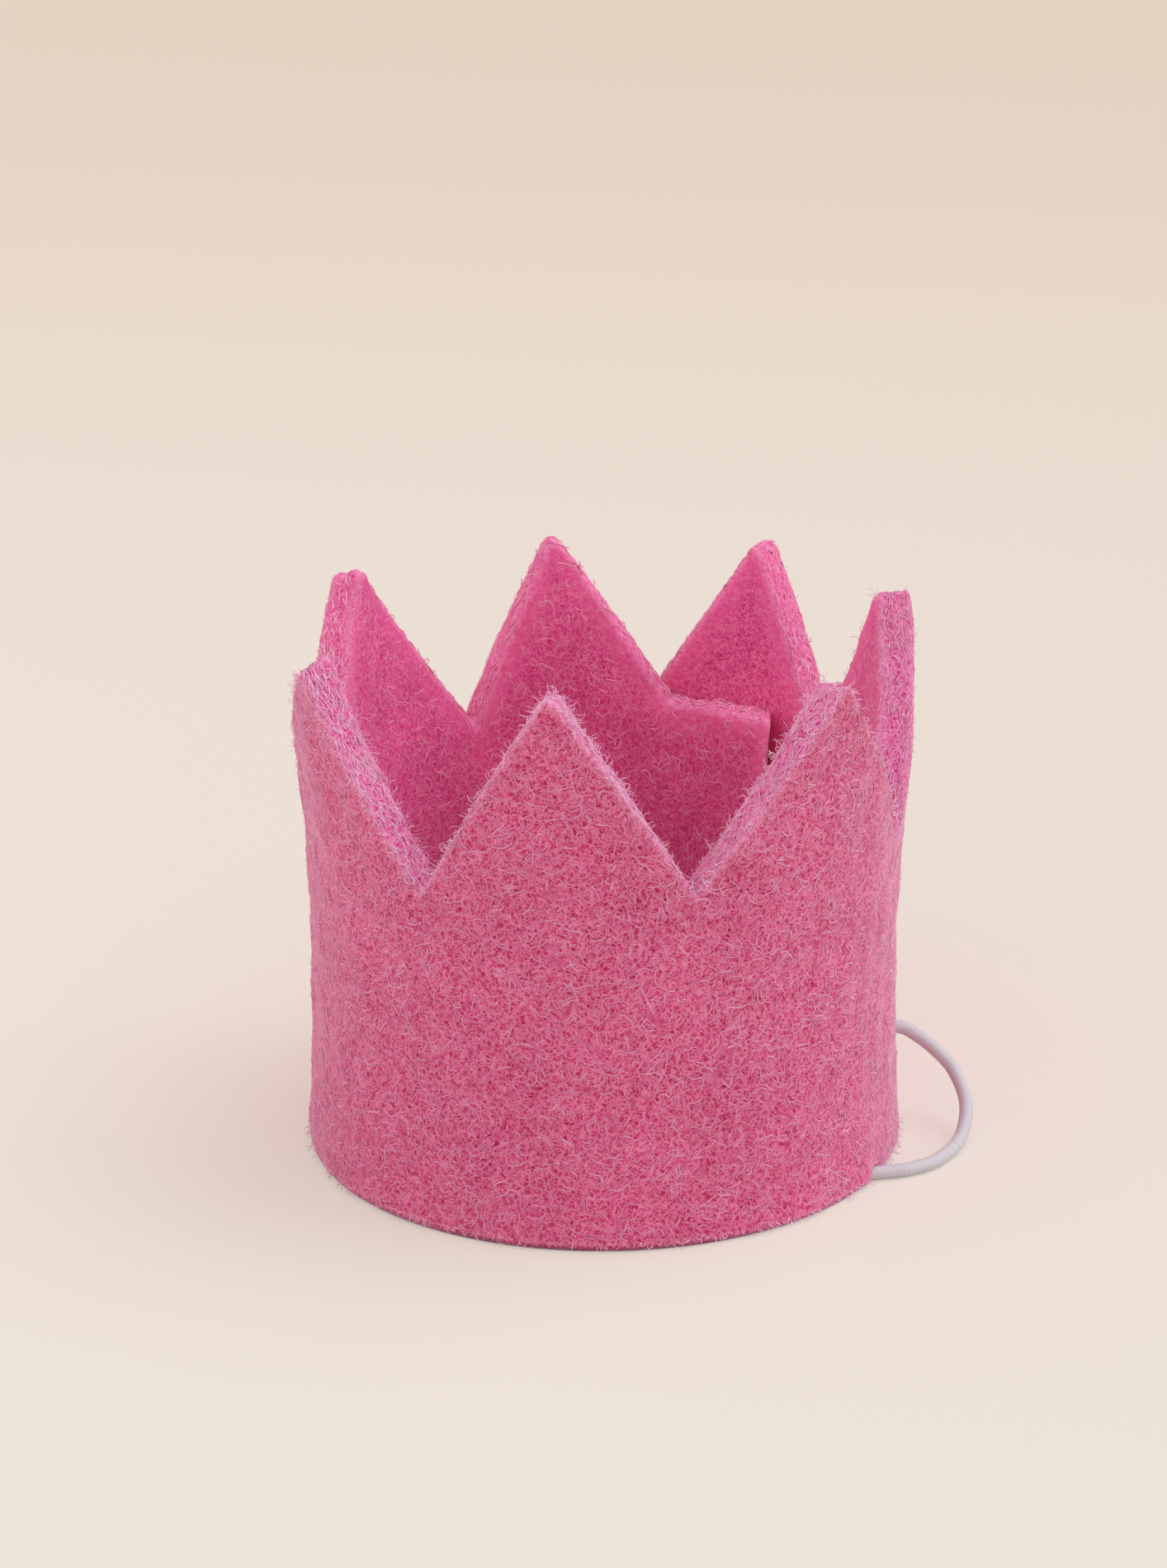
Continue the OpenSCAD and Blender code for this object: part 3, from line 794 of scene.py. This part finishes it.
def fibrePiece(name, paths, ups, thickness, shades, face):
    # paths is fibres x points x 3; every fibre tapers at both ends
    count, points = paths.shape[:2]
    tangent = unit(np.gradient(paths, axis=1))
    sideways = unit(np.cross(tangent, ups))
    lift = np.cross(sideways, tangent)
    along = np.linspace(0, 1, points)
    taper = 0.35 + 0.65 * np.minimum(1, 4 * np.minimum(along, 1 - along))
    section = np.array([(0, 0.2), (-0.5, -0.1), (0.5, -0.1)])  # a low ridge, its flat side towards the felt
    spokes = section[:, :1] * sideways[:, :, None] + section[:, 1:] * lift[:, :, None]
    ring = paths[:, :, None] + spokes * (thickness[:, None] * taper)[:, :, None, None]
    index = np.arange(count * points * 3).reshape(count, points, 3)
    right = np.roll(index, -1, axis=2)
    quads = np.stack([index[:, :-1], index[:, 1:], right[:, 1:], right[:, :-1]], -1).reshape(-1)
    caps = np.concatenate([index[:, 0], index[:, -1, ::-1]]).reshape(-1)
    starts = np.concatenate([np.arange(len(quads) // 4) * 4, len(quads) + np.arange(len(caps) // 3) * 3])
    loops = np.concatenate([quads, caps])
    piece = meshPiece(name, ring.reshape(-1, 3), loops, starts, fibreLook[face], smooth=False)
    corner = np.empty(len(piece.data.loops), np.int32)
    piece.data.loops.foreach_get("vertex_index", corner)
    # across the map lies each fibre's shade, which its dye reads, and up the map the way along it
    across = 0.02 + 0.93 * np.repeat(shades, points * 3) + 0.03 * np.tile([0, 0.5, 1], count * points)
    uv = np.stack([across, np.tile(np.repeat(0.02 + 0.96 * along, 3), count)], -1)[corner]
    piece.data.uv_layers.new(name="OFBake").data.foreach_set("uv", uv.astype(np.float32).ravel())
    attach(piece, "root")
    return piece


def spread(name):
    kind = fibre[name]
    count = kind["count"]
    return (count, kind["steps"], rng.uniform(*kind["long"], count), rng.uniform(*kind["thick"], count))


def curlyHeadings(count, steps, start, bend, wander):
    turn = rng.normal(0, bend, (count, 1)) + rng.normal(0, wander, (count, steps))
    return start[:, None] + np.cumsum(turn, axis=1) - turn[:, :1]


def faceFibres(name, fromAngle, toAngle, depth):
    # Fibres that wander over a face of the strip, humped in the middle, with both ends sunk in
    count, steps, length, width = spread(name)
    many = int(count * 1.6)  # those that would start above the cut are left out
    angle, high = rng.uniform(fromAngle, toAngle, many), rng.uniform(0.5, crown["tipHigh"], many)
    keep = np.flatnonzero(high < edgeHeight(angle) - 0.4)[:count]
    count = len(keep)
    angle, high, length, width = angle[keep], high[keep], length[:count], width[:count]
    heading = curlyHeadings(count, steps, rng.uniform(0, 2 * np.pi, count), *fibre["faceBend"])
    pace = (length / steps)[:, None]
    radius = baseR - depth
    angles = np.concatenate([angle[:, None], angle[:, None] + np.degrees(
        np.cumsum(pace * np.cos(heading), axis=1) / radius)], axis=1)
    highs = np.concatenate([high[:, None], high[:, None] + np.cumsum(pace * np.sin(heading), axis=1)], axis=1)
    lowest = footLift(angles) + 0.15 if depth == 0 else 1.0
    inside = (highs > lowest).all(1) & (highs < edgeHeight(angles) + 0.5).all(1)
    inside &= (angles.min(1) > fromAngle) & (angles.max(1) < toAngle)
    angles, highs, width = angles[inside], highs[inside], width[inside]
    way = 1 if depth == 0 else -1
    deep = np.full(angles.shape, float(depth))
    ground = feltPoint(angles, highs, deep)
    hump = np.sin(np.linspace(0, np.pi, steps + 1))
    least, more = fibre["faceRise"]
    stand = (least + more * rng.random((len(width), 1)) ** 2) * hump
    rise = -fibre["faceSink"] + stand + lumps(ground, angles, deep)
    ups = outwards(angles) * way
    return ground + ups * rise[..., None], ups, width


def cutFibres(name):
    # Fibres along the cut: most follow the edge, layer over layer
    count, steps, length, width = spread(name)
    start = rng.uniform(edgeAlong[0], edgeAlong[-1], count)
    heading = curlyHeadings(count, steps, rng.normal(0, 0.35, count), *fibre["cutBend"])
    pace = (length / steps)[:, None]
    across = rng.uniform(0.1, thick - 0.1, count)[:, None]
    alongs = start[:, None] + np.concatenate([np.zeros((count, 1)), np.cumsum(pace * np.cos(heading), 1)], 1)
    depths = across + np.concatenate([np.zeros((count, 1)), np.cumsum(pace * np.sin(heading), 1)], 1)
    inside = (alongs.max(1) < edgeAlong[-1] - 0.3) & (depths.min(1) > -0.1) & (depths.max(1) < thick + 0.1)
    inside &= rng.random(count) < 0.45 + 0.55 * fray(np.interp(start, edgeAlong, edgeAngles))
    alongs, depths, width = alongs[inside], depths[inside], width[inside]
    angles = np.interp(alongs, edgeAlong, edgeAngles)
    _, normal = cutFrame(angles)
    ground = feltPoint(angles, rimHeight(angles, depths), depths)
    rag = crown["ragged"] * ripple(ground, raggedWaves) + lumps(ground, angles, depths)
    surface = rag / np.sqrt(1 + edgeSlope(angles) ** 2) - rimSink(angles, depths)
    hump = np.sin(np.linspace(0, np.pi, steps + 1))
    least, more = fibre["cutRise"]
    stand = (least + more * rng.random((len(width), 1)) ** 2) * hump
    rise = surface - fibre["cutSink"] + stand
    return ground + normal * rise[..., None], normal, width


def curlOut(start, way, length, steps, curl):
    # A hair that grows from start along way and curls about an axis of its own
    axis = unit(np.cross(way, rng.normal(size=way.shape)))
    pace = (length / steps)[:, None]
    bend = (rng.normal(0, curl, len(start)) / steps)[:, None]
    points, heading = [start], way
    for _ in range(steps):
        points.append(points[-1] + heading * pace)
        heading = unit(heading * np.cos(bend) + np.cross(axis, heading) * np.sin(bend))
    path = np.stack(points, 1)
    return path, np.repeat(axis[:, None], steps + 1, 1)


def strayHairs(name):
    # Loose ends that stand out along the cut edges: mostly a short fuzz, longer on the points near the front
    count, steps, _, width = spread(name)
    along = rng.uniform(edgeAlong[0], edgeAlong[-1], count)
    angle = np.interp(along, edgeAlong, edgeAngles)
    front = fray(angle)
    share = fibre["strayLeast"] + (1 - fibre["strayLeast"]) * front
    keep = rng.random(count) < share * np.interp(angle, *zip(*fibre["strayThin"]))
    angle, width, front = angle[keep], width[keep], front[keep]
    count = len(angle)
    short, long = fibre[name]["long"]
    length = short + (long - short) * rng.random(count) ** 3 * (0.3 + 0.7 * front)
    side = rng.integers(0, 2, count)
    depth = np.abs(side * thick - np.abs(rng.normal(0, 0.35, count)))
    tangent, normal = cutFrame(angle)
    below = (rimSink(angle, depth) + fibre["rootSink"])[:, None]
    ground = feltPoint(angle, rimHeight(angle, depth), depth) - normal * below
    lean = outwards(angle) * (1 - 2 * side)[:, None]
    way = unit(normal * rng.uniform(0.4, 1.2, (count, 1)) + lean * rng.uniform(-0.1, 0.9, (count, 1))
               + tangent * rng.normal(0, 0.7, (count, 1)))
    path, axis = curlOut(ground, way, length, steps, fibre[name]["curl"])
    return path, axis, width


def footHairs(name):
    # Loose ends along the lower edge, leaning out over the table
    count, steps, length, width = spread(name)
    angle = rng.uniform(crown["lapTo"], crown["outerEnd"] - 2, count)
    high = footLift(angle) + rng.uniform(0.05, 0.8, count)
    start = feltPoint(angle, high, np.full(count, fibre["rootSink"]))
    way = unit(outwards(angle) + roundwards(angle) * rng.normal(0, 0.6, (count, 1))
               - np.array([0, 0, 1]) * rng.uniform(0, 1.1, (count, 1)))
    path, axis = curlOut(start, way, length, steps, fibre[name]["curl"])
    path[..., 2] = np.maximum(path[..., 2], 0.07)  # none goes into the table
    return path, axis, width


def napHairs(name):
    # Short nap that leans over the faces and blurs the outline
    count, steps, length, width = spread(name)
    outer = rng.random(count) < fibre["napOuter"]
    outerAngle = rng.uniform(crown["lapFrom"] + 2, crown["outerEnd"] - 1, count)
    innerAngle = rng.uniform(crown["tabEnd"] + 1, crown["tabEnd"] + 359, count)
    angle = np.where(outer, outerAngle, innerAngle)
    high = rng.uniform(0.3, 1, count) ** 0.8 * edgeHeight(angle) - 0.3
    depth = np.where(outer, 0.0, thick)
    ground = feltPoint(angle, high, depth)
    out = outwards(angle) * np.where(outer, 1, -1)[:, None]
    tilt = rng.uniform(0, 2 * np.pi, count)[:, None]
    flat = roundwards(angle) * np.cos(tilt) + np.array([0, 0, 1.0]) * np.sin(tilt)
    way = unit(out * rng.uniform(0.25, 0.9, (count, 1)) + flat)
    start = ground + out * (lumps(ground, angle, depth)[:, None] - fibre["napSink"])
    path, axis = curlOut(start, way, length, steps, fibre[name]["curl"])
    path[..., 2] = np.maximum(path[..., 2], 0.1)
    return path, axis, width


def clearOfCord(fibres):
    # No fibre lies in the way of the elastic
    paths, ups, width = fibres
    reach = np.hypot(routeLine[:, 0], routeLine[:, 1] - crown["axisY"])
    near = routeLine[reach > baseR - thick - 3][::3]  # the parts of its route at the wall
    gap = np.full(len(paths), np.inf)
    for point in near:
        gap = np.minimum(gap, np.linalg.norm(paths - point, axis=2).min(1))
    free = gap > cordR + fibre["cordGap"]
    return paths[free], ups[free], width[free]


def wayRound(paths):
    # angle of each fibre's first point, counted as on the strip
    angle = np.degrees(np.arctan2(paths[:, 0, 0], crown["axisY"] - paths[:, 0, 1]))
    return (angle - fibre["countFrom"]) % 360 + fibre["countFrom"]


pieces = []
front = faceFibres("webFront", fibre["frontFrom"], fibre["frontTo"], 0)
atLeft = front[0][:, 0, 0] < feltPoint(np.array(fibre["frontMid"]), np.array(0), np.array(0))[0]
backLeft = faceFibres("webBack", crown["lapFrom"] + 1, fibre["frontFrom"], 0)
backRight = faceFibres("webBack", fibre["frontTo"], crown["outerEnd"], 0)
back = [np.concatenate(both) for both in zip(backLeft, backRight)]
hairs = [np.concatenate(both) for both in zip(strayHairs("stray"), footHairs("foot"))]
cut = cutFibres("cut")
frayed = fray(wayRound(cut[0])) > 0.5
inner = faceFibres("inner", crown["tabEnd"], crown["tabEnd"] + 360, thick)
# each piece's fibres, the least shade of their dye, how far it ranges, and which face's dye it is
for name, fibres, low, wide, face in (
        ("wool_web_left", [part[atLeft] for part in front], 0.03, 0.6, "outer"),
        ("wool_web_right", [part[~atLeft] for part in front], 0.03, 0.6, "outer"),
        ("wool_web_back", back, 0.08, 0.6, "outer"),
        ("wool_web_inside", inner, 0.22, 0.62, "inside"),
        ("wool_cut_front", [part[frayed] for part in cut], 0.25, 0.7, "outer"),
        ("wool_cut_back", [part[~frayed] for part in cut], 0.3, 0.6, "inside"),
        ("wool_stray_hairs", hairs, 0.7, 0.3, "outer"),
        ("wool_nap", napHairs("nap"), 0.4, 0.5, "outer")):
    paths, ups, width = clearOfCord(fibres)
    shades = low + wide * rng.beta(2, 1.7, len(width))
    if name == "wool_cut_front":
        shades = shades * np.interp(wayRound(paths), *zip(*fibre["cutDye"]))
    # painted sheen: the outer face's fibres are paler towards its sides
    if face == "outer" and name.startswith("wool_web"):
        shades = np.clip(shades + np.interp(wayRound(paths), *zip(*fibre["bloom"])), 0, 1)
    # painted shade: the inside fibres are darker low down
    if name == "wool_web_inside":
        shades = shades * np.interp(paths[:, 0, 2], felt["paintedShadeUpTo"], [fibre["paintedShadeFibres"], 1])
    pieces.append(fibrePiece(name, paths, ups, width, shades, face))
triangles = {piece.name: sum(len(face.vertices) - 2 for face in piece.data.polygons) for piece in pieces}
print("wool fibres:", triangles, "triangles")
